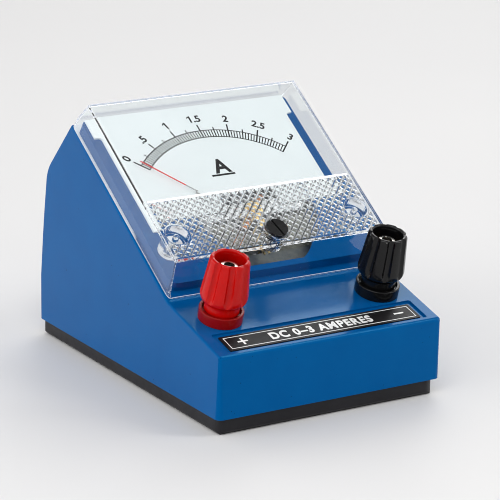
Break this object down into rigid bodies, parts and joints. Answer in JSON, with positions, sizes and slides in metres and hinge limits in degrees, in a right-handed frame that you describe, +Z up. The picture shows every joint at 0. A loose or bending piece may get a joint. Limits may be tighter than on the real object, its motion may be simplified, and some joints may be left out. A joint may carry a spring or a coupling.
{
  "type": "analog panel meter",
  "caption": "Bench DC ammeter in a sloping desk case, with clear cover, moving-coil pointer over an arc scale, zero adjuster and red and black binding posts.",
  "frame": {"origin": "centre of the base's underside", "axes": "+X to the right when facing the dial, +Y to the back, +Z up"},
  "size_m": [0.097, 0.137, 0.1],
  "materials": {
    "case_blue": "satin moulded",
    "base_black": "fine matte",
    "cover_clear": "polished clear",
    "adjuster_black": "satin",
    "dial_white": "white enamel on sheet metal",
    "legend_black": "printed strip",
    "bright_steel": "zinc plated",
    "soft_iron": "phosphated",
    "magnet_grey": "as cast",
    "brass": "turned",
    "aluminium": "brushed",
    "copper": "enamelled wire",
    "spring_bronze": "polished",
    "pointer_red": "painted",
    "shunt_alloy": "rolled",
    "plated_brass": "nickel plated",
    "red_plastic": "gloss moulded",
    "black_plastic": "gloss moulded",
    "insulator": "moulded",
    "lead_red": "insulated wire",
    "lead_black": "insulated wire"
  },
  "bodies": {
    "case": {"case_shell": "case_blue", "base_plate": "base_black", "base_screws": "bright_steel", "legend_strip": "legend_black", "clear_cover": "cover_clear", "cover_screws": "bright_steel", "dial_plate": "dial_white", "dial_screws": "dial_white", "movement_plate": "aluminium", "movement_screws": "bright_steel", "yoke_ring": "soft_iron", "core_magnet": "magnet_grey", "core_spacers": "brass", "bridge_pillars": "brass", "front_bridge": "brass", "bridge_screws": "bright_steel", "rear_pillars": "brass", "rear_bridge": "brass", "rear_bridge_screws": "bright_steel", "front_jewel_screw": "bright_steel", "rear_jewel_screw": "bright_steel", "jewel_lock_nuts": "brass", "rear_spring_arm": "brass", "front_hairspring": "spring_bronze", "rear_hairspring": "spring_bronze", "shunt_bar": "shunt_alloy", "lead_positive": "lead_red", "lead_negative": "lead_black", "red_collar": "red_plastic", "red_stud": "plated_brass", "red_insulator": "insulator", "red_nuts": "bright_steel", "red_tag": "brass", "black_collar": "black_plastic", "black_stud": "plated_brass", "black_insulator": "insulator", "black_nuts": "bright_steel", "black_tag": "brass"},
    "coil_and_pointer": {"coil_former": "aluminium", "moving_coil": "copper", "front_staff": "bright_steel", "rear_staff": "bright_steel", "pointer_hub": "aluminium", "pointer": "pointer_red", "balance_weights": "brass"},
    "adjuster": {"zero_adjuster": "adjuster_black"},
    "lever": {"zero_lever": "brass"},
    "red_washer": {"red_clamp_washer": "plated_brass"},
    "red_cap": {"red_cap": "red_plastic", "red_cap_insert": "brass"},
    "black_washer": {"black_clamp_washer": "plated_brass"},
    "black_cap": {"black_cap": "black_plastic", "black_cap_insert": "brass"}
  },
  "joints": [
    {"name": "pointer_swing", "type": "hinge", "parent": "case", "child": "coil_and_pointer", "pos_m": [0, -0.00683, 0.05604], "axis": [0, 0.5534, -0.8329], "range_deg": [-2, 93], "stiffness_Nm_per_rad": 0.000012},
    {"name": "zero_adjuster_turn", "type": "hinge", "parent": "case", "child": "adjuster", "pos_m": [0, -0.01991, 0.04735], "axis": [0, -0.5534, 0.8329], "range_deg": [-30, 30]},
    {"name": "zero_lever_turn", "type": "hinge", "parent": "case", "child": "lever", "pos_m": [0, -0.00683, 0.05604], "axis": [0, -0.5534, 0.8329], "range_deg": [-3.3, 3.3]},
    {"name": "red_clamp_lift", "type": "slide", "parent": "case", "child": "red_washer", "axis": [0, -0.2622, 0.965], "range_m": [0, 0.004]},
    {"name": "red_cap_turn", "type": "hinge", "parent": "red_washer", "child": "red_cap", "pos_m": [-0.0342, -0.04634, 0.03939], "axis": [0, -0.2622, 0.965], "range_deg": [0, 1440]},
    {"name": "black_clamp_lift", "type": "slide", "parent": "case", "child": "black_washer", "axis": [0, -0.2622, 0.965], "range_m": [0, 0.004]},
    {"name": "black_cap_turn", "type": "hinge", "parent": "black_washer", "child": "black_cap", "pos_m": [0.0342, -0.04634, 0.03939], "axis": [0, -0.2622, 0.965], "range_deg": [0, 1440]}
  ],
  "couplings": [
    {"joint": "zero_lever_turn", "follows": "zero_adjuster_turn", "ratio": -0.10563},
    {"joint": "red_clamp_lift", "follows": "red_cap_turn", "m_per_rad": 0.00015915},
    {"joint": "black_clamp_lift", "follows": "black_cap_turn", "m_per_rad": 0.00015915}
  ]
}
